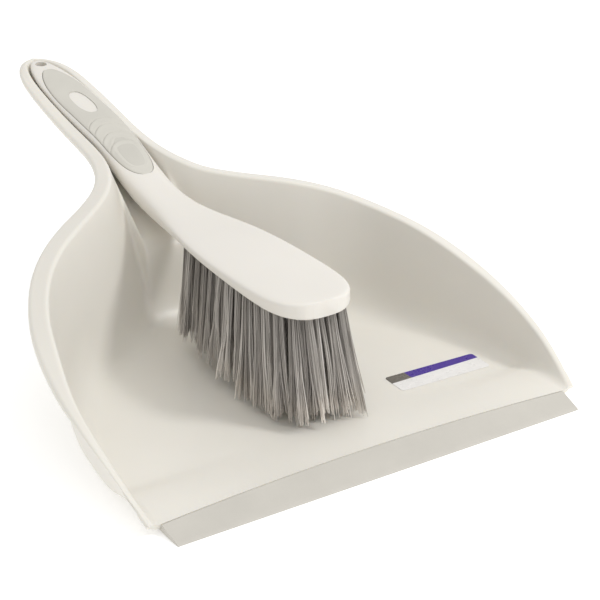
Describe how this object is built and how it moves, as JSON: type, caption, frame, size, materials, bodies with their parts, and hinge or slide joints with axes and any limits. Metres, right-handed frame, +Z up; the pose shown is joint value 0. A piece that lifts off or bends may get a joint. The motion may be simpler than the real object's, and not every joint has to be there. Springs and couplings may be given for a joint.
{
  "type": "dust pan and brush set",
  "caption": "Hand dust pan with a soft front lip and an open handle trough, in which a tufted hand brush with a soft grip nests and lifts out.",
  "frame": {"origin": "on the floor under the middle of the set's bounding box", "axes": "+X across the lip, +Y from the lip to the handle, +Z up"},
  "size_m": [0.2302, 0.3466, 0.0966],
  "materials": {
    "pan_plastic": "semi-gloss moulded polypropylene, ivory",
    "lip_rubber": "satin thermoplastic rubber, greige",
    "sticker_paper": "printed film sticker, plain bands",
    "brush_plastic": "semi-gloss moulded polypropylene, ivory",
    "grip_rubber": "matt thermoplastic rubber, greige",
    "anchor_wire": "flat wire",
    "bristle_grey": "crimped grey filament"
  },
  "bodies": {
    "pan": {"pan_shell": "pan_plastic", "front_lip": "lip_rubber", "sticker": "sticker_paper"},
    "brush": {"brush_block": "brush_plastic", "grip_inlay": "grip_rubber", "thumb_pad": "grip_rubber", "tuft_anchors": "anchor_wire", "tuft_row_1": "bristle_grey", "tuft_row_2": "bristle_grey", "tuft_row_3": "bristle_grey", "tuft_row_4": "bristle_grey", "tuft_row_5": "bristle_grey", "tuft_row_6": "bristle_grey", "tuft_row_7": "bristle_grey", "tuft_row_8": "bristle_grey", "tuft_row_9": "bristle_grey", "tuft_row_10": "bristle_grey", "tuft_row_11": "bristle_grey", "tuft_row_12": "bristle_grey", "tuft_row_13": "bristle_grey"}
  },
  "joints": [
    {"name": "brush_lift", "type": "slide", "parent": "pan", "child": "brush", "axis": [0, 0, 1], "range_m": [0, 0.12]}
  ]
}
